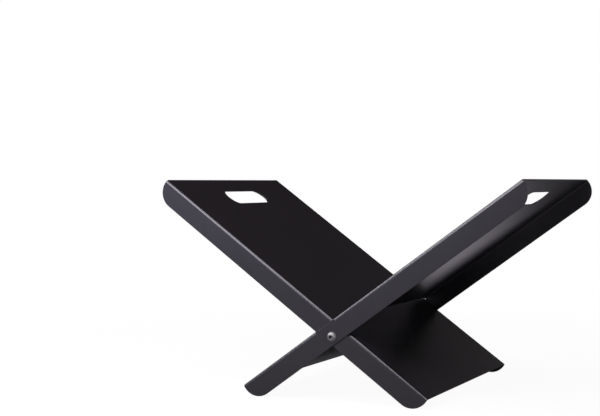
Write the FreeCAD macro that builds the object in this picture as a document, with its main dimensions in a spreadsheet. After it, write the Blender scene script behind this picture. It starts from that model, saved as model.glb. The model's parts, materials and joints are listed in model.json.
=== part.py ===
"""Log holder of two folded steel panels that cross in an X and turn on one screw at each side.

Millimetres and degrees. Z is up and the floor is Z = 0. The pivot line of the two panels runs along
Y, straight above the origin. The outer panel leans to the right (+X) and the inner panel, half a
turn about Z from it and narrower, leans to the left through a window in the outer one.
"""

import FreeCAD, Part
import math
import os

import Sketcher

Vector = FreeCAD.Vector

# Every driving dimension: name, value and what it measures.
SIZES = [
    ("sheet_thickness", 2, "steel sheet of both panels"),
    ("bend_inner_radius", 2.5, "inside radius of the folds"),
    ("flange_height", 30, "flange, from its free edge to the outer face of the web"),
    ("panel_length", 498, "both panels, from the foot end to the top end"),
    ("outer_width", 360, "outer panel, over its flanges"),
    ("corner_radius", 25, "rounded free corner of a flange, at the top and at the foot"),
    ("lean_angle", 35.8, "rise of each panel from the floor, standing open"),
    ("close_angle", 4, "play of the pivot, from standing open to closed"),
    ("pivot_from_foot", 156.3, "pivot line, from the foot end along the panel"),
    ("pivot_from_web", 19.5, "pivot line, below the outer face of the web"),
    ("slot_length", 114, "hand slot, across the panel"),
    ("slot_width", 32, "hand slot, along the panel"),
    ("slot_from_end", 29, "hand slot, from the top end to its nearer edge"),
    ("stop_clearance", 0.3, "room between the window's ends and the inner panel at its stops"),
    ("bend_relief", 0.5, "flat of the flange left between a fold and the nearest cut"),
    ("lip_drop", 1, "straight lip of each flange in the window, below the outer face of the web"),
    ("relief_slit", 0.8, "slit between a lip and the folds at the window's ends"),
    ("screw_diameter", 8, "screw shank over its thread"),
    ("screw_length", 16, "screw, under its head"),
    ("screw_chamfer", 1, "end of the shank"),
    ("hole_clearance", 0.4, "holes over the screw diameter"),
    ("head_diameter", 14, "button head"),
    ("head_height", 4.4, "button head"),
    ("head_rim", 0.5, "upright rim of the button head under its dome"),
    ("head_flat", 6.8, "diameter of the flat on top of the dome"),
    ("socket_size", 5, "hexagon socket across its flats"),
    ("socket_depth", 2.6, "hexagon socket"),
    ("spacer_diameter", 16, "nylon washer between the flanges"),
    ("spacer_thickness", 0.5, "nylon washer between the flanges"),
    ("washer_diameter", 16, "plain washer under the nut"),
    ("washer_thickness", 1.6, "plain washer under the nut"),
    ("nut_size", 13, "lock nut across its flats"),
    ("nut_height", 8, "lock nut with its collar"),
    ("nut_hexagon_height", 5.8, "hexagon of the lock nut, below the collar"),
    ("nut_collar_diameter", 12.4, "round collar that holds the nylon ring"),
    ("nut_collar_chamfer", 0.6, "top edge of the collar"),
    ("nut_chamfer_angle", 30, "chamfer on the corners of the hexagon"),
    ("thread_clearance", 0.1, "nut and nylon ring over the screw diameter"),
    ("insert_diameter", 10.6, "nylon ring in the collar"),
    ("insert_thickness", 2, "nylon ring in the collar"),
    ("insert_clearance", 0.1, "collar's recess over the nylon ring"),
]

# Sketch numbers for the points of a curve and for the sketch's own axes, which start at its origin.
START, END, CENTRE = range(1, 4)
X_AXIS, Y_AXIS = range(-1, -3, -1)
ORIGIN = (X_AXIS, START)

FRONT, REAR = -1, 1
NEAR_ENOUGH = 1e-4

# Sizes worked out from the driving ones.
BEND_OUTER_RADIUS = "(Sizes.bend_inner_radius + Sizes.sheet_thickness)"
CORNER_RADIUS = (
    "min(Sizes.corner_radius; Sizes.flange_height - %s - Sizes.bend_relief)" % BEND_OUTER_RADIUS
)
INNER_WIDTH = "(Sizes.outer_width - 2 * (Sizes.sheet_thickness + Sizes.spacer_thickness))"
PIVOT_FROM_TOP = "(Sizes.panel_length - Sizes.pivot_from_foot)"
FLANGE_BELOW_PIVOT = "(Sizes.flange_height - Sizes.pivot_from_web)"
HOLE_DIAMETER = "(Sizes.screw_diameter + Sizes.hole_clearance)"
THREAD_BORE = "(Sizes.screw_diameter + Sizes.thread_clearance)"

# The feet stand on the rounded corners of their flanges.
PIVOT_HEIGHT = (
    "((Sizes.pivot_from_foot - {r}) * sin(Sizes.lean_angle)"
    " + ({low} - {r}) * cos(Sizes.lean_angle) + {r})"
).format(r=CORNER_RADIUS, low=FLANGE_BELOW_PIVOT)

# The window reaches from where the inner web meets its upper end, with the pivot closed, to where the
# inner flanges meet its lower end, standing open.
OPEN_CROSSING = "(2 * Sizes.lean_angle)"
CLOSED_CROSSING = "(2 * Sizes.lean_angle + Sizes.close_angle)"
WINDOW_ABOVE_PIVOT = (
    "((Sizes.pivot_from_web - (Sizes.pivot_from_web - Sizes.sheet_thickness) * cos({turn}))"
    " / sin({turn}) + Sizes.stop_clearance)"
).format(turn=CLOSED_CROSSING)
WINDOW_BELOW_PIVOT = (
    "(({low} + Sizes.pivot_from_web * cos({turn})) / sin({turn}) + Sizes.stop_clearance)"
).format(low=FLANGE_BELOW_PIVOT, turn=OPEN_CROSSING)
WINDOW_FLOOR = "(Sizes.pivot_from_web - %s - Sizes.bend_relief)" % BEND_OUTER_RADIUS

# Along the window the flanges aren't folded: each stands straight, as a lip between two slits.
LIP_ABOVE_PIVOT = "(%s - Sizes.relief_slit)" % WINDOW_ABOVE_PIVOT
LIP_BELOW_PIVOT = "(%s - Sizes.relief_slit)" % WINDOW_BELOW_PIVOT
LIP_HEIGHT = "(%s + Sizes.bend_relief - Sizes.lip_drop)" % BEND_OUTER_RADIUS

# Depth of each seat along the screw, from the outer face of the outer flange.
SPACER_DEPTH = "Sizes.sheet_thickness"
WASHER_DEPTH = "(2 * Sizes.sheet_thickness + Sizes.spacer_thickness)"
NUT_DEPTH = "(%s + Sizes.washer_thickness)" % WASHER_DEPTH
INSERT_DEPTH = "(%s + Sizes.nut_height - Sizes.insert_thickness)" % NUT_DEPTH

doc = FreeCAD.newDocument("LogHolder")
sheet = doc.addObject("Spreadsheet::Sheet", "Sizes")
for row, (alias, value, note) in enumerate(SIZES, start=1):
    sheet.set("A%d" % row, alias)
    sheet.set("B%d" % row, str(value))
    sheet.set("C%d" % row, note)
    sheet.setAlias("B%d" % row, alias)
doc.recompute()


def size(expression):
    """Present value of an expression in the sheet's names."""
    return float(sheet.evalExpression(expression))


# Bodies, sketches and features

def new_body(label):
    body = doc.addObject("PartDesign::Body", label)
    body.Label = label
    return body


def new_sketch(body, name, role, lift=None):
    """Empty sketch on one of the body's own origin planes, or lifted off it."""
    plane = next(item for item in body.Origin.OriginFeatures if item.Role == role)
    sketch = body.newObject("Sketcher::SketchObject", name)
    sketch.AttachmentSupport = [(plane, "")]
    sketch.MapMode = "FlatFace"
    if lift is not None:
        sketch.setExpression("AttachmentOffset.Base.z", lift)
    return sketch


def hold(sketch, kind, *where):
    return sketch.addConstraint(Sketcher.Constraint(kind, *where))


def measure(sketch, name, expression, kind, *where):
    """Add a dimension to a sketch and tie it to the sheet."""
    index = hold(sketch, kind, *where, size(expression))
    sketch.renameConstraint(index, name)
    sketch.setExpression("Constraints." + name, expression)


def draw_polygon(sketch, corners):
    """Closed run of lines, each from a corner to the next one. Returns the number of the first."""
    count = len(corners)
    first = sketch.GeometryCount
    for i in range(count):
        sketch.addGeometry(Part.LineSegment(corners[i], corners[(i + 1) % count]), False)
    for i in range(count):
        hold(sketch, "Coincident", first + i, END, first + (i + 1) % count, START)
    return first


def draw_circle(sketch, name, diameter):
    """Circle about the sketch's origin."""
    circle = Part.Circle(Vector(0, 0, 0), Vector(0, 0, 1), size(diameter) / 2)
    index = sketch.addGeometry(circle, False)
    hold(sketch, "Coincident", index, CENTRE, *ORIGIN)
    measure(sketch, name, diameter, "Diameter", index)
    return index


def draw_hexagon(sketch, across_flats):
    """Regular hexagon about the sketch's origin, with two sides along its X axis."""
    across_corners = "(%s / cos(30))" % across_flats
    radius = size(across_corners) / 2
    turns = [math.radians(60 * i) for i in range(6)]
    draw_polygon(sketch, [Vector(radius * math.cos(a), radius * math.sin(a), 0) for a in turns])
    circle = draw_circle(sketch, "across_corners", across_corners)
    sketch.setConstruction(circle, True)
    for i in range(6):
        hold(sketch, "PointOnObject", i, START, circle)
    for i in range(1, 6):
        hold(sketch, "Equal", 0, i)
    hold(sketch, "Horizontal", 1)


def pad(body, name, sketch, length, behind=None):
    """Pad along the sketch's normal and, if given, some way behind it too."""
    feature = body.newObject("PartDesign::Pad", name)
    feature.Profile = sketch
    feature.setExpression("Length", length)
    if behind is not None:
        feature.SideType = "Two sides"
        feature.setExpression("Length2", behind)
    doc.recompute()
    return feature


def cut(body, name, sketch, depth=None, both_ways=False):
    """Pocket along the sketch's normal, right through unless a depth is given."""
    before = body.Shape.Volume
    feature = body.newObject("PartDesign::Pocket", name)
    feature.Profile = sketch
    feature.Reversed = True
    if depth is None:
        feature.Type = "ThroughAll"
    else:
        feature.setExpression("Length", depth)
    if both_ways:
        feature.SideType = "Symmetric"
    doc.recompute()
    if not body.Shape.Volume < before:
        raise RuntimeError("%s cuts nothing" % name)
    return feature


def turn_about_z(body, kind, name, sketch):
    """Revolution or Groove, once round the sketch's upright axis."""
    feature = body.newObject("PartDesign::" + kind, name)
    feature.Profile = sketch
    feature.ReferenceAxis = (sketch, ["V_Axis"])
    feature.Angle = 360
    doc.recompute()
    return feature


def dress_edges(body, kind, name, amount, wanted):
    """Fillet or Chamfer on the edges of the body so far whose middle point is wanted."""
    base = body.Tip
    edges = enumerate(base.Shape.Edges, start=1)
    names = ["Edge%d" % number for number, edge in edges if wanted(edge.CenterOfMass)]
    feature = body.newObject("PartDesign::" + kind, name)
    feature.Base = (base, names)
    feature.setExpression("Radius" if kind == "Fillet" else "Size", amount)
    doc.recompute()
    return feature


def same(a, b):
    return abs(a - b) < NEAR_ENOUGH


# Panels, drawn with the pivot line along Y through the origin, the top end at +X and the web at +Z

def draw_channel_section(sketch, width):
    """Square-cornered channel section, web uppermost."""
    half = size(width) / 2
    wall = size("Sizes.sheet_thickness")
    top = size("Sizes.pivot_from_web")
    edge = -size(FLANGE_BELOW_PIVOT)
    draw_polygon(sketch, [
        Vector(-half, edge, 0),
        Vector(-half, top, 0),
        Vector(half, top, 0),
        Vector(half, edge, 0),
        Vector(half - wall, edge, 0),
        Vector(half - wall, top - wall, 0),
        Vector(wall - half, top - wall, 0),
        Vector(wall - half, edge, 0),
    ])
    for upright in (0, 2, 4, 6):
        hold(sketch, "Vertical", upright)
    for level in (3, 5, 7):
        hold(sketch, "Horizontal", level)
    hold(sketch, "Symmetric", 1, START, 1, END, Y_AXIS)
    hold(sketch, "Horizontal", 0, START, 3, START)
    measure(sketch, "width", width, "DistanceX", 1, START, 1, END)
    measure(sketch, "web_above_pivot", "Sizes.pivot_from_web", "DistanceY", *ORIGIN, 1, END)
    measure(sketch, "flange", "Sizes.flange_height", "DistanceY", 2, END, 2, START)
    measure(sketch, "web_wall", "Sizes.sheet_thickness", "DistanceY", 5, START, 1, END)
    measure(sketch, "right_wall", "Sizes.sheet_thickness", "DistanceX", 3, END, 3, START)
    measure(sketch, "left_wall", "Sizes.sheet_thickness", "DistanceX", 7, END, 7, START)


def draw_hand_slot(sketch):
    """Obround across the panel, near its top end."""
    radius = size("Sizes.slot_width") / 2
    reach = (size("Sizes.slot_length") - size("Sizes.slot_width")) / 2
    from_pivot = PIVOT_FROM_TOP + " - Sizes.slot_from_end - Sizes.slot_width / 2"
    middle = size(from_pivot)
    left_round = Part.Circle(Vector(middle, reach, 0), Vector(0, 0, 1), radius)
    right_round = Part.Circle(Vector(middle, -reach, 0), Vector(0, 0, 1), radius)
    left = sketch.addGeometry(Part.ArcOfCircle(left_round, 0, math.pi), False)
    lower = sketch.addGeometry(
        Part.LineSegment(Vector(middle - radius, reach, 0), Vector(middle - radius, -reach, 0)), False)
    right = sketch.addGeometry(Part.ArcOfCircle(right_round, math.pi, 2 * math.pi), False)
    upper = sketch.addGeometry(
        Part.LineSegment(Vector(middle + radius, -reach, 0), Vector(middle + radius, reach, 0)), False)
    hold(sketch, "Tangent", left, END, lower, START)
    hold(sketch, "Tangent", lower, END, right, START)
    hold(sketch, "Tangent", right, END, upper, START)
    hold(sketch, "Tangent", upper, END, left, START)
    hold(sketch, "Equal", left, right)
    hold(sketch, "Symmetric", left, CENTRE, right, CENTRE, X_AXIS)
    measure(sketch, "from_pivot", from_pivot, "DistanceX", *ORIGIN, left, CENTRE)
    measure(sketch, "slot_width", "Sizes.slot_width", "Diameter", left)
    measure(sketch, "centres", "Sizes.slot_length - Sizes.slot_width", "DistanceY",
            right, CENTRE, left, CENTRE)


def draw_window(sketch):
    """Rectangle from flange to flange at the crossing, wider than the panel."""
    above = size(WINDOW_ABOVE_PIVOT)
    below = size(WINDOW_BELOW_PIVOT)
    half = size("Sizes.outer_width")
    draw_polygon(sketch, [
        Vector(-below, -half, 0),
        Vector(above, -half, 0),
        Vector(above, half, 0),
        Vector(-below, half, 0),
    ])
    for along in (0, 2):
        hold(sketch, "Horizontal", along)
    hold(sketch, "Vertical", 3)
    hold(sketch, "Symmetric", 1, START, 1, END, X_AXIS)
    measure(sketch, "past_the_flanges", "Sizes.outer_width", "DistanceY", *ORIGIN, 1, END)
    measure(sketch, "above_pivot", WINDOW_ABOVE_PIVOT, "DistanceX", *ORIGIN, 1, END)
    measure(sketch, "below_pivot", WINDOW_BELOW_PIVOT, "DistanceX", 0, START, *ORIGIN)


def draw_lip(sketch, name, side):
    """Rectangle over the flange at one side, along the window and short of its ends."""
    half = size("Sizes.outer_width") / 2
    wall = size("Sizes.sheet_thickness")
    above = size(LIP_ABOVE_PIVOT)
    below = size(LIP_BELOW_PIVOT)
    outer = draw_polygon(sketch, [
        Vector(-below, side * half, 0),
        Vector(above, side * half, 0),
        Vector(above, side * (half - wall), 0),
        Vector(-below, side * (half - wall), 0),
    ])
    inner = outer + 2
    for along in (outer, inner):
        hold(sketch, "Horizontal", along)
    for across in (outer + 1, outer + 3):
        hold(sketch, "Vertical", across)
    measure(sketch, name + "_above_pivot", LIP_ABOVE_PIVOT, "DistanceX", *ORIGIN, outer, END)
    measure(sketch, name + "_below_pivot", LIP_BELOW_PIVOT, "DistanceX", outer, START, *ORIGIN)
    spans = [
        ("_outer_face", "Sizes.outer_width / 2", [ORIGIN, (outer, START)]),
        ("_wall", "Sizes.sheet_thickness", [(inner, END), (outer, START)]),
    ]
    for tail, expression, (low, high) in spans:
        if side < 0:
            low, high = high, low
        measure(sketch, name + tail, expression, "DistanceY", *low, *high)


def make_panel(label, width):
    """Folded channel with rounded flange corners, a hand slot and the two pivot holes."""
    body = new_body(label)
    section = new_sketch(body, label + "_section", "YZ_Plane")
    draw_channel_section(section, width)
    pad(body, label + "_sheet", section, PIVOT_FROM_TOP, behind="Sizes.pivot_from_foot")

    half = size(width) / 2
    wall = size("Sizes.sheet_thickness")
    top = size("Sizes.pivot_from_web")
    edge = -size(FLANGE_BELOW_PIVOT)
    ends = (size(PIVOT_FROM_TOP), -size("Sizes.pivot_from_foot"))
    dress_edges(body, "Fillet", label + "_fold_outside", BEND_OUTER_RADIUS,
                lambda middle: same(middle.z, top) and same(abs(middle.y), half))
    dress_edges(body, "Fillet", label + "_fold_inside", "Sizes.bend_inner_radius",
                lambda middle: same(middle.z, top - wall) and same(abs(middle.y), half - wall))
    dress_edges(body, "Fillet", label + "_flange_corners", CORNER_RADIUS,
                lambda middle: same(middle.z, edge) and any(same(middle.x, end) for end in ends))

    slot = new_sketch(body, label + "_slot_outline", "XY_Plane")
    draw_hand_slot(slot)
    cut(body, label + "_hand_slot", slot)

    hole = new_sketch(body, label + "_hole_outline", "XZ_Plane")
    draw_circle(hole, "hole", HOLE_DIAMETER)
    cut(body, label + "_pivot_holes", hole, both_ways=True)
    return body


def make_outer_panel():
    """Wide panel, open at the crossing between its two flanges."""
    body = make_panel("outer_panel", "Sizes.outer_width")
    window = new_sketch(body, "outer_panel_window_outline", "XY_Plane", lift=WINDOW_FLOOR)
    draw_window(window)
    cut(body, "outer_panel_window", window)
    lips = new_sketch(body, "outer_panel_lip_outline", "XY_Plane", lift=WINDOW_FLOOR)
    draw_lip(lips, "front", FRONT)
    draw_lip(lips, "rear", REAR)
    pad(body, "outer_panel_lips", lips, LIP_HEIGHT)
    body.setExpression(
        "Placement",
        "placement(vector(0; 0; %s); rotation(vector(0; 1; 0); -Sizes.lean_angle))" % PIVOT_HEIGHT)
    return body


def make_inner_panel():
    """Narrow panel, half a turn about Z from the outer one."""
    body = make_panel("inner_panel", INNER_WIDTH)
    body.setExpression(
        "Placement",
        "placement(vector(0; 0; %s); rotation(vector(0; 1; 0); Sizes.lean_angle)"
        " * rotation(vector(0; 0; 1); 180))" % PIVOT_HEIGHT)
    return body


# Pivot hardware, drawn along Z with its outer end lowest, then seated on the pivot line

def seat(body, side, depth):
    """Lay a piece's Z axis along the pivot line, pointing inwards, at a depth from the outer flange."""
    body.setExpression(
        "Placement",
        "placement(vector(0; %d * (Sizes.outer_width / 2 - %s); %s); rotation(vector(1; 0; 0); %d))"
        % (side, depth, PIVOT_HEIGHT, side * 90))
    return body


def draw_screw_section(sketch):
    """Half of the screw's section: domed head below the origin, shank above it."""
    head = size("Sizes.head_diameter") / 2
    flat = size("Sizes.head_flat") / 2
    rim = -size("Sizes.head_rim")
    crown = -size("Sizes.head_height")
    shank = size("Sizes.screw_diameter") / 2
    tip = size("Sizes.screw_length")
    chamfer = size("Sizes.screw_chamfer")
    # The dome's centre lies on the axis, as far from the rim's corner as from the flat's edge.
    centre = (head**2 + rim**2 - flat**2 - crown**2) / (2 * (rim - crown))
    radius = math.hypot(head, rim - centre)
    corners = [
        Vector(head, rim, 0),
        Vector(head, 0, 0),
        Vector(shank, 0, 0),
        Vector(shank, tip - chamfer, 0),
        Vector(shank - chamfer, tip, 0),
        Vector(0, tip, 0),
        Vector(0, crown, 0),
        Vector(flat, crown, 0),
    ]
    for first, second in zip(corners, corners[1:]):
        sketch.addGeometry(Part.LineSegment(first, second), False)
    dome_circle = Part.Circle(Vector(0, centre, 0), Vector(0, 0, 1), radius)
    dome = sketch.addGeometry(
        Part.ArcOfCircle(dome_circle, math.atan2(crown - centre, flat), math.atan2(rim - centre, head)),
        False)
    for i in range(6):
        hold(sketch, "Coincident", i, END, i + 1, START)
    hold(sketch, "Coincident", 6, END, dome, START)
    hold(sketch, "Coincident", dome, END, 0, START)
    hold(sketch, "PointOnObject", dome, CENTRE, Y_AXIS)
    hold(sketch, "PointOnObject", 5, START, Y_AXIS)
    hold(sketch, "PointOnObject", 1, START, X_AXIS)
    for upright in (0, 2, 5):
        hold(sketch, "Vertical", upright)
    for level in (1, 4, 6):
        hold(sketch, "Horizontal", level)
    measure(sketch, "head_radius", "Sizes.head_diameter / 2", "DistanceX", *ORIGIN, 1, START)
    measure(sketch, "rim", "Sizes.head_rim", "DistanceY", 0, START, 0, END)
    measure(sketch, "head_height", "Sizes.head_height", "DistanceY", 6, START, *ORIGIN)
    measure(sketch, "flat_radius", "Sizes.head_flat / 2", "DistanceX", 6, START, 6, END)
    measure(sketch, "shank_radius", "Sizes.screw_diameter / 2", "DistanceX", *ORIGIN, 2, START)
    measure(sketch, "length", "Sizes.screw_length", "DistanceY", *ORIGIN, 5, START)
    measure(sketch, "chamfer_in", "Sizes.screw_chamfer", "DistanceX", 3, END, 3, START)
    measure(sketch, "chamfer_down", "Sizes.screw_chamfer", "DistanceY", 3, START, 3, END)


def make_screw(label):
    """Button-head screw with a hexagon socket."""
    body = new_body(label)
    section = new_sketch(body, label + "_section", "XZ_Plane")
    draw_screw_section(section)
    turn_about_z(body, "Revolution", label + "_turned", section)
    socket = new_sketch(body, label + "_socket_outline", "XY_Plane", lift="-Sizes.head_height")
    draw_hexagon(socket, "Sizes.socket_size")
    cut(body, label + "_socket", socket, depth="Sizes.socket_depth")
    return body


def make_ring(label, outside, bore, thickness):
    """Flat ring: a washer, a spacer or the ring in a nut."""
    body = new_body(label)
    outline = new_sketch(body, label + "_outline", "XY_Plane")
    draw_circle(outline, "outside", outside)
    draw_circle(outline, "bore", bore)
    pad(body, label + "_ring", outline, thickness)
    return body


def draw_nut_chamfer(sketch):
    """Wedge that turns the corners off the collar's end of the hexagon."""
    flat = size("Sizes.nut_size") / 2
    past = size("Sizes.nut_size")
    top = size("Sizes.nut_hexagon_height")
    slope = "(Sizes.nut_size / 2 * tan(Sizes.nut_chamfer_angle))"
    draw_polygon(sketch, [
        Vector(flat, top, 0),
        Vector(past, top - size(slope), 0),
        Vector(past, top, 0),
    ])
    hold(sketch, "Vertical", 1)
    hold(sketch, "Horizontal", 2)
    measure(sketch, "flat", "Sizes.nut_size / 2", "DistanceX", *ORIGIN, 0, START)
    measure(sketch, "past_the_corners", "Sizes.nut_size", "DistanceX", *ORIGIN, 1, START)
    measure(sketch, "slope", slope, "DistanceY", 1, START, 1, END)
    measure(sketch, "hexagon_top", "Sizes.nut_hexagon_height", "DistanceY", *ORIGIN, 0, START)


def make_lock_nut(label):
    """Hexagon with a round collar, recessed for a nylon ring."""
    body = new_body(label)
    hexagon = new_sketch(body, label + "_hexagon_outline", "XY_Plane")
    draw_hexagon(hexagon, "Sizes.nut_size")
    pad(body, label + "_hexagon", hexagon, "Sizes.nut_hexagon_height")
    chamfer = new_sketch(body, label + "_chamfer_outline", "XZ_Plane")
    draw_nut_chamfer(chamfer)
    turn_about_z(body, "Groove", label + "_chamfer", chamfer)
    collar = new_sketch(body, label + "_collar_outline", "XY_Plane")
    draw_circle(collar, "collar", "Sizes.nut_collar_diameter")
    pad(body, label + "_collar", collar, "Sizes.nut_height")
    height = size("Sizes.nut_height")
    dress_edges(body, "Chamfer", label + "_collar_chamfer", "Sizes.nut_collar_chamfer",
                lambda middle: same(middle.z, height))
    bore = new_sketch(body, label + "_bore_outline", "XY_Plane")
    draw_circle(bore, "bore", THREAD_BORE)
    cut(body, label + "_bore", bore)
    recess = new_sketch(body, label + "_recess_outline", "XY_Plane",
                        lift="Sizes.nut_height - Sizes.insert_thickness")
    draw_circle(recess, "recess", "Sizes.insert_diameter + Sizes.insert_clearance")
    cut(body, label + "_recess", recess)
    return body


def make_pivot_hardware(name, side):
    """One screw with what it clamps, from the head inwards."""
    return [
        seat(make_screw(name + "_screw"), side, "0"),
        seat(make_ring(name + "_spacer", "Sizes.spacer_diameter", HOLE_DIAMETER,
                       "Sizes.spacer_thickness"), side, SPACER_DEPTH),
        seat(make_ring(name + "_washer", "Sizes.washer_diameter", HOLE_DIAMETER,
                       "Sizes.washer_thickness"), side, WASHER_DEPTH),
        seat(make_lock_nut(name + "_lock_nut"), side, NUT_DEPTH),
        seat(make_ring(name + "_nut_insert", "Sizes.insert_diameter", THREAD_BORE,
                       "Sizes.insert_thickness"), side, INSERT_DEPTH),
    ]


def check(pieces):
    """Stop before anything is written if a feature failed or a piece isn't one sound solid."""
    for item in doc.Objects:
        if "Invalid" in item.State or "Error" in item.State:
            raise RuntimeError("%s failed: %s" % (item.Label, item.State))
        if item.isDerivedFrom("Sketcher::SketchObject") and not item.FullyConstrained:
            raise RuntimeError("%s is not fully constrained" % item.Label)
    for piece in pieces:
        shape = piece.Shape
        if shape.isNull() or not shape.isValid() or len(shape.Solids) != 1:
            raise RuntimeError("%s is not one sound solid" % piece.Label)


def write(pieces):
    os.makedirs("parts", exist_ok=True)
    for piece in pieces:
        piece.Shape.exportStep(os.path.join("parts", piece.Label + ".step"))


pieces = [make_outer_panel(), make_inner_panel()]
pieces += make_pivot_hardware("front", FRONT)
pieces += make_pivot_hardware("rear", REAR)
doc.recompute()
check(pieces)
write(pieces)
for piece in pieces:
    box = piece.Shape.BoundBox
    print("%-17s %9.1f mm3   X %7.1f %7.1f   Y %7.1f %7.1f   Z %6.1f %6.1f" % (
        piece.Label, piece.Shape.Volume, box.XMin, box.XMax, box.YMin, box.YMax, box.ZMin, box.ZMax))
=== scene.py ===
"""Looks of a log holder of two folded steel panels that cross in an X on one screw at each side.

Metres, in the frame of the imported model: Z is up, the floor is Z = 0 and the pivot line runs along Y.
Each panel is made as in the workshop: a flat blank is cut, its rims are eased and its flanges folded.
"""

import json
import math

import bmesh
import bpy
from mathutils import Euler, Matrix, Vector


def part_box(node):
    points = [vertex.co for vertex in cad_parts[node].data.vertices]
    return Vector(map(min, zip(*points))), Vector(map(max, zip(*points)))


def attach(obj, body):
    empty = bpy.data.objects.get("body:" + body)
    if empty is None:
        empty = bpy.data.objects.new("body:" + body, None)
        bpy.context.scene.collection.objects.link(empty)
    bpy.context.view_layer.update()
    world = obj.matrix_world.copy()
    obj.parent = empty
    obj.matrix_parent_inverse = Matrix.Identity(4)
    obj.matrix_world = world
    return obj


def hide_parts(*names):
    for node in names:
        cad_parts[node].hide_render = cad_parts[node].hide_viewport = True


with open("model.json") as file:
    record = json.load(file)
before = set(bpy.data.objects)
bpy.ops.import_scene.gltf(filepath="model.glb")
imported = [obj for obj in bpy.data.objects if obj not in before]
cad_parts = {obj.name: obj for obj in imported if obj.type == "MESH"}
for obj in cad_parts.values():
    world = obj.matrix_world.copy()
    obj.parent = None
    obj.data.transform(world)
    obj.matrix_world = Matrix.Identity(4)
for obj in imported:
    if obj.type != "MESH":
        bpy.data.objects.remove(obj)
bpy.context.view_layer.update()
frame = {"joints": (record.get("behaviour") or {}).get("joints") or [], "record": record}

MM = 0.001

# Sheet and folds
SHEET = 2 * MM
BEND_OUTER_RADIUS = 4.5 * MM
BEND_MIDDLE_RADIUS = BEND_OUTER_RADIUS - SHEET / 2
FOLD_STRETCH = BEND_MIDDLE_RADIUS * math.pi / 2
FOLD_STEPS = 10
RIM_ROUND = 0.35 * MM
RIM_STEPS = 3

# Panels, measured along the slope from the pivot line and down from the outer face of the web
PANEL_LENGTH = 498 * MM
FOOT_TO_PIVOT = 156.3 * MM
PIVOT_TO_TOP = PANEL_LENGTH - FOOT_TO_PIVOT
FLANGE_HEIGHT = 30 * MM
PIVOT_BELOW_WEB = 19.5 * MM
CORNER_RADIUS = 25 * MM
CORNER_STEPS = 20
PIVOT_HOLE_RADIUS = 4.2 * MM
HOLE_STEPS = 48

# Hand slot
SLOT_LENGTH = 114 * MM
SLOT_WIDTH = 32 * MM
SLOT_FROM_TOP = 29 * MM
SLOT_STEPS = 20

# Window of the outer panel, which ends where the inner panel meets its stops
STOP_ROOM = 0.3 * MM
FOLD_ROOM = 0.5 * MM

# Straight lip of each flange along the window, between two slits
LIP_DROP = 1 * MM
LIP_ROUND = 0.6 * MM
SLIT_WIDTH = 0.8 * MM
SLIT_ROUND = 0.35 * MM
LIP_STEPS = 4

# Screw, from the seat of its head
SCREW_RADIUS = 4 * MM
SCREW_LENGTH = 16 * MM
SCREW_CHAMFER = 1 * MM
THREAD_PITCH = 1.25 * MM
THREAD_DEPTH = 0.62 * MM
THREAD_START = 1.4 * MM
THREAD_FOOT = 0.45
THREAD_CREST = 0.07
THREAD_SINK = 0.05 * MM
THREAD_STEPS = 36
HEAD_RADIUS = 7 * MM
HEAD_HEIGHT = 4.4 * MM
HEAD_RIM = 0.5 * MM
HEAD_FLAT_RADIUS = 3.4 * MM
DOME_STEPS = 9
SOCKET_SIZE = 5 * MM
SOCKET_DEPTH = 2.6 * MM
SOCKET_MOUTH = 0.12 * MM
SOCKET_POINT = 0.5 * MM
# Painted shade in the socket: how far its walls and its floor are darkened in colour
SOCKET_WALL_PAINTED_SHADE = 0.5
SOCKET_FLOOR_PAINTED_SHADE = 1.0

# Lock nut, from its seat on the washer
NUT_SIZE = 13 * MM
NUT_HEXAGON = 5.8 * MM
NUT_COLLAR_RADIUS = 6.2 * MM
NUT_COLLAR_CHAMFER = 0.6 * MM
NUT_BORE_RADIUS = 4.05 * MM
NUT_MOUTH = 0.35 * MM
NUT_CHAMFER_ANGLE = math.radians(30)
INSERT_ROOM = 0.05 * MM

# Eased edges of the washers and rings
THIN_WASHER_EDGE = 0.08 * MM
FLAT_WASHER_EDGE = 0.18 * MM
NUT_RING_EDGE = 0.15 * MM
RING_EDGE_STEPS = 2

# Meshes
RING_STEPS = 72
HEXAGON_SIDES = 6
SHARP_EDGE = math.radians(35)
FLAT_ANGLE = math.radians(1)
FACES_UP = 0.5
WELD = 0.002 * MM
CUT_ROOM = WELD / 4

# Photograph's camera, in a frame of 600 by 416 pixels
CAMERA_PLACE = (0.7024, -1.7160, 0.3015)
CAMERA_YAW = math.radians(26.04)
CAMERA_DIP = math.radians(1.18)
CAMERA_ROLL = math.radians(-0.09)
SENSOR_WIDTH = 36
CAMERA_LENS = 74.17


# Crossing of the panels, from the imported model

pivot = Vector(frame["joints"][0]["pos_m"])
cradle_normal = next(
    Vector(mount["axis"])
    for mount in frame["record"]["mounts"]
    if mount["name"] == "outer_cradle_face"
)
lean = math.atan2(-cradle_normal.x, cradle_normal.z)
close_angle = math.radians(frame["joints"][0]["range_deg"][1])
open_crossing = 2 * lean
closed_crossing = 2 * lean + close_angle
window_above_pivot = STOP_ROOM + (
    PIVOT_BELOW_WEB - (PIVOT_BELOW_WEB - SHEET) * math.cos(closed_crossing)
) / math.sin(closed_crossing)
window_below_pivot = STOP_ROOM + (
    FLANGE_HEIGHT - PIVOT_BELOW_WEB + PIVOT_BELOW_WEB * math.cos(open_crossing)
) / math.sin(open_crossing)
lip_above_pivot = window_above_pivot - SLIT_WIDTH
lip_below_pivot = window_below_pivot - SLIT_WIDTH


# Meshes

def add_piece(name, bm, node, body, material):
    """Make the mesh an object that stands for a CAD node and moves with its body."""
    mesh = bpy.data.meshes.new(name)
    bm.to_mesh(mesh)
    bm.free()
    piece = bpy.data.objects.new(name, mesh)
    bpy.context.scene.collection.objects.link(piece)
    mesh.materials.append(material)
    normals = piece.modifiers.new("even_normals", "WEIGHTED_NORMAL")
    normals.keep_sharp = True
    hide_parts(node)
    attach(piece, body)
    return piece


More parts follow.
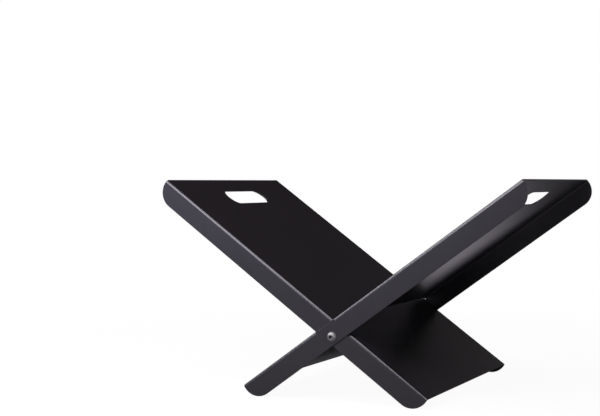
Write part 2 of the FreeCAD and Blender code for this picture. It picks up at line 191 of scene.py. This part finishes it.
def close_up(bm):
    """Weld the seams, turn the faces outwards and shade smooth between sharp edges."""
    bmesh.ops.remove_doubles(bm, verts=bm.verts[:], dist=WELD)
    bmesh.ops.recalc_face_normals(bm, faces=bm.faces[:])
    for face in bm.faces:
        face.smooth = True
    for edge in bm.edges:
        edge.smooth = len(edge.link_faces) == 2 and edge.calc_face_angle() < SHARP_EDGE


def ease_edges(bm, edges, width, steps):
    """Round the named edges and mark the new faces as rim."""
    rim = bm.faces.layers.float.get("rim") or bm.faces.layers.float.new("rim")
    eased = bmesh.ops.bevel(
        bm,
        geom=edges,
        affect="EDGES",
        offset=width,
        offset_type="OFFSET",
        segments=steps,
        profile=0.5,
        material=-1,
        clamp_overlap=False,
    )
    for face in eased["faces"]:
        face[rim] = 1.0


def sharp_edges(bm):
    """Edges of a turned piece that are to be eased."""
    return [
        edge
        for edge in bm.edges
        if len(edge.link_faces) == 2 and edge.calc_face_angle() > SHARP_EDGE
    ]


# Panels

def round_corners(bm, corners, radius, steps):
    """Round the corners of a flat outline."""
    bmesh.ops.bevel(
        bm,
        geom=corners,
        affect="VERTICES",
        offset=radius,
        offset_type="OFFSET",
        segments=steps,
        profile=0.5,
        material=-1,
        clamp_overlap=False,
    )


def cut_rectangle(bm, low, high, radius, steps):
    """Outline of a rectangle with rounded corners, between two corners along and across the blank."""
    middle = [(a + b) / 2 for a, b in zip(low, high)]
    extent = [b - a for a, b in zip(low, high)]
    place = Matrix.Translation((*middle, 0)) @ Matrix.Diagonal((*extent, 1, 1))
    made = bmesh.ops.create_grid(bm, x_segments=1, y_segments=1, size=0.5, matrix=place)
    round_corners(bm, made["verts"], radius, steps)


def cut_window(bm, fold_end):
    """Outline of the window at the crossing, with slits that part the lips from the folds."""
    slit_end = fold_end + FOLD_ROOM
    lip_top = fold_end - BEND_OUTER_RADIUS + LIP_DROP
    half = [
        (window_above_pivot, slit_end),
        (lip_above_pivot, slit_end),
        (lip_above_pivot, lip_top),
        (-lip_below_pivot, lip_top),
        (-lip_below_pivot, slit_end),
        (-window_below_pivot, slit_end),
    ]
    outline = half + [(along, -across) for along, across in reversed(half)]
    verts = [bm.verts.new((along, across, 0)) for along, across in outline]
    bm.faces.new(verts)
    lip_corners = [vert for vert in verts if abs(vert.co.y) < fold_end]
    slit_corners = [vert for vert in verts if abs(vert.co.y) > fold_end]
    round_corners(bm, lip_corners, LIP_ROUND, LIP_STEPS)
    round_corners(bm, slit_corners, SLIT_ROUND, LIP_STEPS)


def cut_blank(flat_half, window):
    """Flat blank of a panel, its outer face at height 0, with the holes cut and the rims eased."""
    bm = bmesh.new()
    fold_end = flat_half + FOLD_STRETCH
    half = fold_end + FLANGE_HEIGHT - BEND_OUTER_RADIUS
    cut_rectangle(bm, (-FOOT_TO_PIVOT, -half), (PIVOT_TO_TOP, half), CORNER_RADIUS, CORNER_STEPS)

    slot_high = PIVOT_TO_TOP - SLOT_FROM_TOP
    slot_low = slot_high - SLOT_WIDTH
    slot_half = SLOT_LENGTH / 2
    slot_radius = SLOT_WIDTH / 2 - CUT_ROOM
    cut_rectangle(bm, (slot_low, -slot_half), (slot_high, slot_half), slot_radius, SLOT_STEPS)
    if window:
        cut_window(bm, fold_end)
    hole_from_middle = fold_end + PIVOT_BELOW_WEB - BEND_OUTER_RADIUS
    for side in (-1, 1):
        bmesh.ops.create_circle(
            bm,
            cap_ends=True,
            radius=PIVOT_HOLE_RADIUS,
            segments=HOLE_STEPS,
            matrix=Matrix.Translation((0, side * hole_from_middle, 0)),
        )
    bmesh.ops.remove_doubles(bm, verts=bm.verts[:], dist=WELD)
    bmesh.ops.delete(bm, geom=bm.faces[:], context="FACES_ONLY")
    bmesh.ops.triangle_fill(bm, use_beauty=True, edges=bm.edges[:], normal=(0, 0, 1))
    bmesh.ops.dissolve_limit(bm, angle_limit=FLAT_ANGLE, verts=bm.verts[:], edges=bm.edges[:])
    bmesh.ops.recalc_face_normals(bm, faces=bm.faces[:])
    for face in bm.faces:
        if face.normal.z < 0:
            face.normal_flip()
    bmesh.ops.solidify(bm, geom=bm.faces[:], thickness=SHEET)
    top = max(vert.co.z for vert in bm.verts)
    bmesh.ops.translate(bm, verts=bm.verts[:], vec=(0, 0, -top))
    bmesh.ops.recalc_face_normals(bm, faces=bm.faces[:])

    rims = [
        edge
        for edge in bm.edges
        if len(edge.link_faces) == 2
        and sum(abs(face.normal.z) > FACES_UP for face in edge.link_faces) == 1
    ]
    ease_edges(bm, rims, RIM_ROUND, RIM_STEPS)
    return bm


def fold(point, flat_half, on_lip):
    """Where a point of the flat blank lies once the flanges are folded down. A lip stays straight."""
    side = math.copysign(1, point.y)
    across = abs(point.y) - flat_half
    radius = BEND_OUTER_RADIUS + point.z
    if across <= 0:
        y = abs(point.y)
        drop = -point.z
    elif across < FOLD_STRETCH and not on_lip:
        turn = across / BEND_MIDDLE_RADIUS
        y = flat_half + radius * math.sin(turn)
        drop = BEND_OUTER_RADIUS - radius * math.cos(turn)
    else:
        y = flat_half + radius
        drop = BEND_OUTER_RADIUS + across - FOLD_STRETCH
    return Vector((point.x, side * y, PIVOT_BELOW_WEB - drop))


def make_panel(name, node, body, heading, window, material):
    """Cut, fold and place a panel that rises towards heading, a turn about Z."""
    low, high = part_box(node)
    flat_half = (high.y - low.y) / 2 - BEND_OUTER_RADIUS
    bm = cut_blank(flat_half, window)
    for step in range(FOLD_STEPS + 1):
        line = flat_half + FOLD_STRETCH * step / FOLD_STEPS
        for side in (-1, 1):
            bmesh.ops.bisect_plane(
                bm,
                geom=bm.verts[:] + bm.edges[:] + bm.faces[:],
                dist=CUT_ROOM,
                plane_co=(0, side * line, 0),
                plane_no=(0, 1, 0),
            )
    for vert in bm.verts:
        on_lip = window and -lip_below_pivot - WELD < vert.co.x < lip_above_pivot + WELD
        vert.co = fold(vert.co, flat_half, on_lip)
    place = (
        Matrix.Translation(pivot)
        @ Matrix.Rotation(heading, 4, "Z")
        @ Matrix.Rotation(-lean, 4, "Y")
    )
    bmesh.ops.transform(bm, matrix=place, verts=bm.verts[:])
    close_up(bm)
    return add_piece(name, bm, node, body, material)


# Turned pieces, made along their own Z and then laid along the pivot line

def spin_outline(bm, corners, closed):
    """Turn an outline of (radius, height) corners once about Z."""
    verts = [bm.verts.new((radius, 0, height)) for radius, height in corners]
    edges = [bm.edges.new(pair) for pair in zip(verts, verts[1:])]
    if closed:
        edges.append(bm.edges.new((verts[-1], verts[0])))
    bmesh.ops.spin(
        bm,
        geom=verts + edges,
        cent=(0, 0, 0),
        axis=(0, 0, 1),
        angle=math.tau,
        steps=RING_STEPS,
        use_merge=True,
        use_duplicate=False,
    )


def lay_on_pivot(bm, side, seat):
    """Turn a piece so that its Z points out of the holder, with its base at a distance from mid depth."""
    place = Matrix.Translation((pivot.x, side * seat, pivot.z)) @ Matrix.Rotation(
        -side * math.pi / 2, 4, "X"
    )
    bmesh.ops.transform(bm, matrix=place, verts=bm.verts[:])


def seat_of(node, outer=False):
    """Distance of a node's inner or outer end from mid depth."""
    low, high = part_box(node)
    near, far = sorted((abs(low.y), abs(high.y)))
    return far if outer else near


ring_bores = {
    "spacer_nylon": PIVOT_HOLE_RADIUS,
    "nut_steel": PIVOT_HOLE_RADIUS,
    "insert_nylon": NUT_BORE_RADIUS,
}


def make_ring(name, node, side, slot, material, edge):
    """Flat ring with eased edges, the size of its CAD node."""
    low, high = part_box(node)
    outer = (high.x - low.x) / 2
    height = high.y - low.y
    bore = ring_bores[slot]
    bm = bmesh.new()
    spin_outline(bm, [(bore, 0), (outer, 0), (outer, height), (bore, height)], closed=True)
    bmesh.ops.recalc_face_normals(bm, faces=bm.faces[:])
    ease_edges(bm, sharp_edges(bm), edge, RING_EDGE_STEPS)
    lay_on_pivot(bm, side, seat_of(node))
    close_up(bm)
    return add_piece(name, bm, node, "outer", material)


def add_thread(bm):
    """Ridge of the screw thread: a closed strip, sunk into the core, that runs out at the tip."""
    root = SCREW_RADIUS - THREAD_DEPTH
    foot = THREAD_FOOT * THREAD_PITCH
    crest = THREAD_CREST * THREAD_PITCH
    ridge = [
        (root - THREAD_SINK, -foot),
        (SCREW_RADIUS, -crest),
        (SCREW_RADIUS, crest),
        (root - THREAD_SINK, foot),
    ]
    before = set(bm.verts)
    start = -THREAD_START - THREAD_PITCH / 2
    verts = [bm.verts.new((radius, 0, start + height)) for radius, height in ridge]
    face = bm.faces.new(verts)
    steps = math.floor((SCREW_LENGTH - THREAD_START - THREAD_PITCH) / THREAD_PITCH * THREAD_STEPS)
    bmesh.ops.spin(
        bm,
        geom=verts + face.edges[:] + [face],
        cent=(0, 0, 0),
        axis=(0, 0, 1),
        dvec=(0, 0, -THREAD_PITCH / THREAD_STEPS),
        angle=steps * math.tau / THREAD_STEPS,
        steps=steps,
        use_merge=False,
        use_duplicate=False,
    )
    for vert in set(bm.verts) - before:
        from_tip = vert.co.z + SCREW_LENGTH
        allowed = max(root + THREAD_SINK, SCREW_RADIUS - SCREW_CHAMFER + from_tip)
        radius = vert.co.xy.length
        if radius > allowed:
            vert.co.xy *= allowed / radius


def make_screw(name, node, side, material):
    """Button-head screw: dome with a hexagon socket, and a thread that shows past the nut."""
    bm = bmesh.new()
    root = SCREW_RADIUS - THREAD_DEPTH
    dome_centre = (
        HEAD_FLAT_RADIUS ** 2 + HEAD_HEIGHT ** 2 - HEAD_RADIUS ** 2 - HEAD_RIM ** 2
    ) / (2 * (HEAD_HEIGHT - HEAD_RIM))
    dome_start = math.atan2(HEAD_RIM - dome_centre, HEAD_RADIUS)
    dome_end = math.atan2(HEAD_HEIGHT - dome_centre, HEAD_FLAT_RADIUS)
    dome_radius = math.hypot(HEAD_RADIUS, HEAD_RIM - dome_centre)
    dome = [
        dome_start + (dome_end - dome_start) * step / DOME_STEPS for step in range(DOME_STEPS + 1)
    ]
    socket_corner = SOCKET_SIZE / math.sqrt(3)
    mouth_radius = socket_corner + SOCKET_MOUTH
    corners = [
        (0, -SCREW_LENGTH),
        (root, -SCREW_LENGTH),
        (root, -THREAD_START),
        (SCREW_RADIUS, -THREAD_START + THREAD_DEPTH),
        (SCREW_RADIUS, 0),
        (HEAD_RADIUS, 0),
    ]
    corners += [
        (dome_radius * math.cos(turn), dome_centre + dome_radius * math.sin(turn)) for turn in dome
    ]
    corners += [(mouth_radius, HEAD_HEIGHT)]
    spin_outline(bm, corners, closed=False)
    bmesh.ops.remove_doubles(bm, verts=bm.verts[:], dist=WELD)

    mouth = [edge for edge in bm.edges if edge.is_boundary]
    hexagon = bmesh.ops.create_circle(
        bm,
        segments=HEXAGON_SIDES,
        radius=socket_corner,
        matrix=Matrix.Translation((0, 0, HEAD_HEIGHT - SOCKET_MOUTH)),
    )
    sides = list({edge for vert in hexagon["verts"] for edge in vert.link_edges})
    bmesh.ops.subdivide_edges(bm, edges=sides, cuts=RING_STEPS // HEXAGON_SIDES - 1)
    walls = [edge for edge in bm.edges if not edge.link_faces]
    bmesh.ops.bridge_loops(bm, edges=mouth + walls)
    floor = bmesh.ops.extrude_edge_only(bm, edges=walls)["geom"]
    floor_verts = [item for item in floor if isinstance(item, bmesh.types.BMVert)]
    floor_edges = [
        item for item in floor if isinstance(item, bmesh.types.BMEdge) and item.is_boundary
    ]
    bmesh.ops.translate(bm, verts=floor_verts, vec=(0, 0, SOCKET_MOUTH - SOCKET_DEPTH))
    point = bmesh.ops.extrude_edge_only(bm, edges=floor_edges)["geom"]
    point_verts = [item for item in point if isinstance(item, bmesh.types.BMVert)]
    bmesh.ops.pointmerge(
        bm, verts=point_verts, merge_co=(0, 0, HEAD_HEIGHT - SOCKET_DEPTH - SOCKET_POINT)
    )
    # The socket's faces are marked for painted shade, its floor darker than its walls.
    recess = bm.faces.layers.float.new("recess")
    for face in bm.faces:
        middle = face.calc_center_median()
        if middle.xy.length < socket_corner and middle.z > 0:
            on_floor = middle.z < HEAD_HEIGHT - SOCKET_DEPTH
            face[recess] = SOCKET_FLOOR_PAINTED_SHADE if on_floor else SOCKET_WALL_PAINTED_SHADE
    add_thread(bm)
    lay_on_pivot(bm, side, seat_of("outer_panel", outer=True))
    close_up(bm)
    return add_piece(name, bm, node, "outer", material)


def make_lock_nut(name, node, side, material):
    """Lock nut turned from the bar, with its six flats cut and a collar round the nylon ring."""
    low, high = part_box(node)
    height = high.y - low.y
    insert_low, insert_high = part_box(node.replace("lock_nut", "nut_insert"))
    recess_radius = (insert_high.x - insert_low.x) / 2 + INSERT_ROOM
    recess_floor = height - (insert_high.y - insert_low.y)
    flat = NUT_SIZE / 2
    corner = NUT_SIZE / math.sqrt(3)
    chamfer = (corner - NUT_COLLAR_RADIUS) * math.tan(NUT_CHAMFER_ANGLE)
    corners = [
        (NUT_BORE_RADIUS, NUT_MOUTH),
        (NUT_BORE_RADIUS + NUT_MOUTH, 0),
        (NUT_COLLAR_RADIUS, 0),
        (corner, chamfer),
        (corner, NUT_HEXAGON - chamfer),
        (NUT_COLLAR_RADIUS, NUT_HEXAGON),
        (NUT_COLLAR_RADIUS, height - NUT_COLLAR_CHAMFER),
        (NUT_COLLAR_RADIUS - NUT_COLLAR_CHAMFER, height),
        (recess_radius, height),
        (recess_radius, recess_floor),
        (NUT_BORE_RADIUS, recess_floor),
    ]
    bm = bmesh.new()
    spin_outline(bm, corners, closed=True)
    bmesh.ops.remove_doubles(bm, verts=bm.verts[:], dist=WELD)
    bmesh.ops.recalc_face_normals(bm, faces=bm.faces[:])
    for number in range(HEXAGON_SIDES):
        turn = Matrix.Rotation(number * math.tau / HEXAGON_SIDES, 3, "Z")
        outward = turn @ Vector((1, 0, 0))
        cut = bmesh.ops.bisect_plane(
            bm,
            geom=bm.verts[:] + bm.edges[:] + bm.faces[:],
            dist=CUT_ROOM,
            plane_co=outward * flat,
            plane_no=outward,
            clear_outer=True,
        )
        cut_edges = [item for item in cut["geom_cut"] if isinstance(item, bmesh.types.BMEdge)]
        bmesh.ops.edgeloop_fill(bm, edges=cut_edges)
    # The nut's collar points into the holder, so it is laid with its base outwards.
    bmesh.ops.rotate(
        bm, verts=bm.verts[:], cent=(0, 0, 0), matrix=Matrix.Rotation(math.pi, 3, "X")
    )
    lay_on_pivot(bm, side, seat_of(node, outer=True))
    close_up(bm)
    return add_piece(name, bm, node, "outer", material)


# Materials

WHITE = (1, 1, 1, 1)
GRAIN_DETAIL = 2.0
PATCH_DETAIL = 4.0
BREAK_LOW = 0.35
BREAK_HIGH = 0.65
BREAK_LEAST = 0.15
# Painted shade: strength and colour of the darkening painted into the screw socket
RECESS_PAINTED_SHADE = 0.9
PAINTED_SHADE_COLOUR = (0.010, 0.009, 0.009)


def feed(tree, socket, value):
    """Link a socket to the output given, or set it to the value given."""
    if isinstance(value, bpy.types.NodeSocket):
        tree.links.new(value, socket)
    else:
        socket.default_value = value


def maths(tree, operation, *values, clamp=False):
    """Output of a Math node."""
    node = tree.nodes.new("ShaderNodeMath")
    node.operation = operation
    node.use_clamp = clamp
    for socket, value in zip(node.inputs, values):
        feed(tree, socket, value)
    return node.outputs["Value"]


def vector_maths(tree, operation, *values):
    """Number that a Vector Math node puts out."""
    node = tree.nodes.new("ShaderNodeVectorMath")
    node.operation = operation
    for socket, value in zip(node.inputs, values):
        feed(tree, socket, value)
    return node.outputs["Value"]


def ramp(tree, value, start, end, low=0.0, high=1.0, smooth=False):
    """Number that goes from low, where the value is at start, to high, where it is at end."""
    node = tree.nodes.new("ShaderNodeMapRange")
    if smooth:
        node.interpolation_type = "SMOOTHSTEP"
    node.inputs["From Min"].default_value = start
    node.inputs["From Max"].default_value = end
    node.inputs["To Min"].default_value = low
    node.inputs["To Max"].default_value = high
    feed(tree, node.inputs["Value"], value)
    return node.outputs["Result"]


def blend(tree, factor, first, second):
    """Colour between a first and a second one."""
    node = tree.nodes.new("ShaderNodeMix")
    node.data_type = "RGBA"
    feed(tree, node.inputs["Factor"], factor)
    feed(tree, node.inputs["A"], first)
    feed(tree, node.inputs["B"], second)
    return node.outputs["Result"]


def mix_shaders(tree, factor, first, second):
    """Shader between a first and a second one."""
    node = tree.nodes.new("ShaderNodeMixShader")
    feed(tree, node.inputs["Fac"], factor)
    feed(tree, node.inputs[1], first)
    feed(tree, node.inputs[2], second)
    return node.outputs["Shader"]


def new_group(name, inputs, outputs):
    """Empty shader group with named float inputs and named outputs."""
    group = bpy.data.node_groups.new(name, "ShaderNodeTree")
    for label, value in inputs:
        socket = group.interface.new_socket(label, in_out="INPUT", socket_type="NodeSocketFloat")
        socket.default_value = value
    for label in outputs:
        group.interface.new_socket(label, in_out="OUTPUT", socket_type="NodeSocketFloat")
    entry = group.nodes.new("NodeGroupInput")
    leave = group.nodes.new("NodeGroupOutput")
    return group, entry, leave


def noise(tree, scale, detail):
    """Output of a Noise node on Object coordinates."""
    place = tree.nodes.new("ShaderNodeTexCoord")
    node = tree.nodes.new("ShaderNodeTexNoise")
    node.inputs["Detail"].default_value = detail
    feed(tree, node.inputs["Vector"], place.outputs["Object"])
    feed(tree, node.inputs["Scale"], scale)
    return node.outputs["Fac"]


def make_grain_group():
    """Fine grain for bump and roughness, and slow patches of tone."""
    group, entry, leave = new_group(
        "surface_grain",
        [("Grain Scale", 1200.0), ("Patch Scale", 14.0)],
        ["Grain", "Patches"],
    )
    grain = noise(group, entry.outputs["Grain Scale"], GRAIN_DETAIL)
    patches = noise(group, entry.outputs["Patch Scale"], PATCH_DETAIL)
    feed(group, leave.inputs["Grain"], grain)
    feed(group, leave.inputs["Patches"], patches)
    return group


def make_mask_group(name, attribute):
    """Mask of the faces marked by a mesh attribute, broken up by noise."""
    group, entry, leave = new_group(name, [("Break Scale", 160.0), ("Amount", 0.5)], ["Mask"])
    marked = group.nodes.new("ShaderNodeAttribute")
    marked.attribute_name = attribute
    breaks = noise(group, entry.outputs["Break Scale"], GRAIN_DETAIL)
    spread = ramp(group, breaks, BREAK_LOW, BREAK_HIGH, low=BREAK_LEAST)
    broken = maths(group, "MULTIPLY", spread, marked.outputs["Fac"])
    mask = maths(group, "MULTIPLY", broken, entry.outputs["Amount"], clamp=True)
    feed(group, leave.inputs["Mask"], mask)
    return group


def place_group(tree, group, **values):
    """Put a shared group into a material, with the material's own values."""
    node = tree.nodes.new("ShaderNodeGroup")
    node.node_tree = group
    for label, value in values.items():
        node.inputs[label.replace("_", " ").title()].default_value = value
    return node.outputs


def make_finish(
    name, dark, light, rough, grain, grain_depth, rub, rub_colour,
    metal=0.0, specular=0.5, tint=(1, 1, 1),
):
    """Finish with patches between two tones, grain in the bump, rims rubbed lighter, and painted shade on
    the marked socket faces.
    """
    material = bpy.data.materials.new(name)
    material.use_nodes = True
    tree = material.node_tree
    surface = place_group(tree, grain_group, grain_scale=grain)
    rim = place_group(tree, rim_group, amount=rub)
    recess = place_group(tree, painted_shade_group, amount=RECESS_PAINTED_SHADE)
    tone = blend(tree, surface["Patches"], (*dark, 1), (*light, 1))
    worn = blend(tree, rim["Mask"], tone, (*rub_colour, 1))
    # Painted shade: the marked socket faces are darkened in colour.
    with_painted_shade = blend(tree, recess["Mask"], worn, (*PAINTED_SHADE_COLOUR, 1))
    bump = tree.nodes.new("ShaderNodeBump")
    bump.inputs["Strength"].default_value = 1.0
    bump.inputs["Distance"].default_value = grain_depth
    feed(tree, bump.inputs["Height"], surface["Grain"])

    shader = tree.nodes["Principled BSDF"]
    shader.inputs["Metallic"].default_value = metal
    shader.inputs["Specular IOR Level"].default_value = specular
    shader.inputs["Specular Tint"].default_value = (*tint, 1)
    feed(tree, shader.inputs["Base Color"], with_painted_shade)
    feed(tree, shader.inputs["Roughness"], ramp(tree, surface["Patches"], 0.0, 1.0, *rough))
    feed(tree, shader.inputs["Normal"], bump.outputs["Normal"])
    return material


grain_group = make_grain_group()
rim_group = make_mask_group("rim_rub", "rim")
# Mask of the socket faces that get painted shade
painted_shade_group = make_mask_group("recess_painted_shade", "recess")
powder_coat = make_finish(
    "powder_coat",
    dark=(0.0068, 0.0057, 0.0074),
    light=(0.009, 0.0076, 0.0098),
    rough=(0.3, 0.34),
    grain=1400.0,
    grain_depth=0.05 * MM,
    rub=0.5,
    rub_colour=(0.022, 0.022, 0.024),
    specular=1.0,
    tint=(1.0, 0.965, 1.0),
)
stainless = make_finish(
    "stainless_steel",
    dark=(0.27, 0.265, 0.26),
    light=(0.345, 0.34, 0.335),
    rough=(0.52, 0.60),
    grain=2600.0,
    grain_depth=0.004 * MM,
    rub=0.3,
    rub_colour=(0.68, 0.67, 0.66),
    metal=1.0,
)
zinc_plate = make_finish(
    "zinc_plate",
    dark=(0.52, 0.53, 0.54),
    light=(0.64, 0.64, 0.63),
    rough=(0.30, 0.44),
    grain=1800.0,
    grain_depth=0.004 * MM,
    rub=0.3,
    rub_colour=(0.70, 0.70, 0.69),
    metal=1.0,
)
black_nylon = make_finish(
    "black_nylon",
    dark=(0.022, 0.022, 0.023),
    light=(0.03, 0.03, 0.031),
    rough=(0.48, 0.58),
    grain=1500.0,
    grain_depth=0.008 * MM,
    rub=0.3,
    rub_colour=(0.05, 0.05, 0.05),
)
white_nylon = make_finish(
    "white_nylon",
    dark=(0.68, 0.69, 0.66),
    light=(0.76, 0.77, 0.74),
    rough=(0.36, 0.46),
    grain=1300.0,
    grain_depth=0.008 * MM,
    rub=0.2,
    rub_colour=(0.80, 0.81, 0.79),
)


# The holder

make_panel("outer_sheet", "outer_panel", "outer", 0.0, True, powder_coat)
make_panel("inner_sheet", "inner_panel", "inner", math.pi, False, powder_coat)
for end, side in (("front", -1), ("rear", 1)):
    make_screw(end + "_button_screw", end + "_screw", side, stainless)
    make_ring(end + "_thin_washer", end + "_spacer", side, "spacer_nylon", black_nylon, THIN_WASHER_EDGE)
    make_ring(end + "_flat_washer", end + "_washer", side, "nut_steel", zinc_plate, FLAT_WASHER_EDGE)
    make_lock_nut(end + "_nut", end + "_lock_nut", side, zinc_plate)
    make_ring(end + "_nut_ring", end + "_nut_insert", side, "insert_nylon", white_nylon, NUT_RING_EDGE)


# Stage

FLOOR_HALF = 8.0
FLOOR_COLOUR = (0.25, 0.25, 0.25, 1)

# Share of white that the floor shows, less near the holder to keep its shadow
FILL_NEAR = 0.95
FILL_NEAR_RADIUS = 0.45
FILL_FAR_RADIUS = 1.3

# Patch of the floor behind the holder that its steel mirrors as white
GLOSS_CENTRE = (0.13, 0.48, 0.0)
GLOSS_COLOUR = (1.0, 0.925, 1.06, 1)
GLOSS_NEAR = 0.08
GLOSS_FAR = 0.24

# Backdrop that the steel mirrors: its height, and its width as the cosine from its middle
BACKDROP_TOP = math.sin(math.radians(2.0))
BACKDROP_FADE = math.sin(math.radians(15.0))
BACKDROP_MIDDLE = (-0.439, 0.898, 0.0)
BACKDROP_EDGE = 0.90
BACKDROP_SIDE_FADE = 0.70
STUDIO_GREY = (0.036, 0.030, 0.034, 1)

# Scrims in front of the lamps, width by height
LAMP_DISTANCE = 1.6
SQUARE_SCRIM = (0.7, 0.7)
WIDE_SCRIM = (1.1, 0.7)
TALL_SCRIM = (0.7, 1.2)
LAMP_COLOUR = (0.99, 0.975, 1.055)
SIDE_COLOUR = (0.98, 0.97, 1.05)
LOW_COLOUR = (0.93, 0.97, 1.22)


def make_floor_finish():
    """Pale finish, topped up to white for the rays that show the background, with the shadow kept."""
    material = bpy.data.materials.new("pale_floor")
    material.use_nodes = True
    tree = material.node_tree
    tree.nodes.remove(tree.nodes["Principled BSDF"])
    path = tree.nodes.new("ShaderNodeLightPath").outputs
    place = tree.nodes.new("ShaderNodeTexCoord").outputs["Object"]
    seen = maths(tree, "ADD", path["Is Camera Ray"], path["Is Transmission Ray"], clamp=True)
    from_patch = vector_maths(tree, "DISTANCE", place, GLOSS_CENTRE)
    patch = ramp(tree, from_patch, GLOSS_FAR, GLOSS_NEAR, smooth=True)
    shown = maths(tree, "MULTIPLY_ADD", path["Is Glossy Ray"], patch, seen, clamp=True)
    distance = vector_maths(tree, "LENGTH", place)
    fill = ramp(tree, distance, FILL_NEAR_RADIUS, FILL_FAR_RADIUS, low=FILL_NEAR, smooth=True)
    share = maths(tree, "MULTIPLY", shown, fill)

    matt = tree.nodes.new("ShaderNodeBsdfDiffuse")
    feed(tree, matt.inputs["Color"], blend(tree, seen, FLOOR_COLOUR, WHITE))
    white = tree.nodes.new("ShaderNodeEmission")
    feed(tree, white.inputs["Color"], blend(tree, path["Is Glossy Ray"], WHITE, GLOSS_COLOUR))
    mixed = mix_shaders(tree, share, matt.outputs["BSDF"], white.outputs["Emission"])
    feed(tree, tree.nodes["Material Output"].inputs["Surface"], mixed)
    return material


def make_floor():
    """Plain floor that the holder stands on."""
    bm = bmesh.new()
    bmesh.ops.create_grid(bm, x_segments=1, y_segments=1, size=FLOOR_HALF)
    mesh = bpy.data.meshes.new("floor")
    bm.to_mesh(mesh)
    bm.free()
    floor = bpy.data.objects.new("floor", mesh)
    bpy.context.scene.collection.objects.link(floor)
    mesh.materials.append(make_floor_finish())


def make_world():
    """White backdrop for what is seen, with a dim studio over and around it."""
    world = bpy.data.worlds.new("studio")
    bpy.context.scene.world = world
    world.use_nodes = True
    tree = world.node_tree
    path = tree.nodes.new("ShaderNodeLightPath").outputs
    towards = tree.nodes.new("ShaderNodeTexCoord").outputs["Generated"]
    parts = tree.nodes.new("ShaderNodeSeparateXYZ")
    feed(tree, parts.inputs["Vector"], towards)
    band = ramp(tree, parts.outputs["Z"], BACKDROP_FADE, BACKDROP_TOP, smooth=True)
    behind = vector_maths(tree, "DOT_PRODUCT", towards, BACKDROP_MIDDLE)
    sides = ramp(tree, behind, BACKDROP_SIDE_FADE, BACKDROP_EDGE, smooth=True)
    both = maths(tree, "MULTIPLY", band, sides)
    seen = maths(tree, "ADD", path["Is Camera Ray"], path["Is Transmission Ray"])
    shown = maths(tree, "MULTIPLY_ADD", path["Is Glossy Ray"], both, seen, clamp=True)

    backdrop = tree.nodes["Background"]
    backdrop.inputs["Color"].default_value = WHITE
    backdrop.inputs["Strength"].default_value = 1.0
    room = tree.nodes.new("ShaderNodeBackground")
    room.inputs["Color"].default_value = STUDIO_GREY
    mixed = mix_shaders(tree, shown, room.outputs["Background"], backdrop.outputs["Background"])
    feed(tree, tree.nodes["World Output"].inputs["Surface"], mixed)


def add_softbox(name, towards, size, radiance, colour):
    """Area lamp in a direction from the pivot, facing it, as bright as the radiance given."""
    lamp = bpy.data.lights.new(name, "AREA")
    lamp.shape = "RECTANGLE"
    lamp.color = colour
    lamp.size, lamp.size_y = size
    lamp.energy = radiance * math.pi * size[0] * size[1]
    box = bpy.data.objects.new(name, lamp)
    bpy.context.scene.collection.objects.link(box)
    direction = Vector(towards).normalized()
    box.location = pivot + direction * LAMP_DISTANCE
    box.rotation_euler = direction.to_track_quat("Z", "Y").to_euler()


def make_camera():
    """Camera at the photograph's viewpoint."""
    camera = bpy.data.cameras.new("camera")
    camera.sensor_fit = "HORIZONTAL"
    camera.sensor_width = SENSOR_WIDTH
    camera.lens = CAMERA_LENS
    stand = bpy.data.objects.new("camera", camera)
    bpy.context.scene.collection.objects.link(stand)
    turn = Euler((math.pi / 2 - CAMERA_DIP, 0, CAMERA_YAW)).to_matrix()
    turn = turn @ Matrix.Rotation(CAMERA_ROLL, 3, "Z")
    stand.matrix_world = Matrix.Translation(CAMERA_PLACE) @ turn.to_4x4()
    bpy.context.scene.camera = stand


make_floor()
make_world()
add_softbox("front_scrim", (-0.27, -0.784, 0.559), SQUARE_SCRIM, 7.1, LAMP_COLOUR)
add_softbox("top_scrim", (0.196, -0.539, 0.819), WIDE_SCRIM, 4.6, LAMP_COLOUR)
add_softbox("left_scrim", (-0.653, -0.238, 0.719), TALL_SCRIM, 6.0, SIDE_COLOUR)
add_softbox("low_scrim", (-0.47, -0.848, 0.242), WIDE_SCRIM, 0.8, LOW_COLOUR)
add_softbox("right_scrim", (0.875, -0.408, 0.259), SQUARE_SCRIM, 2.2, LAMP_COLOUR)
make_camera()
bpy.context.scene.view_settings.view_transform = "Standard"
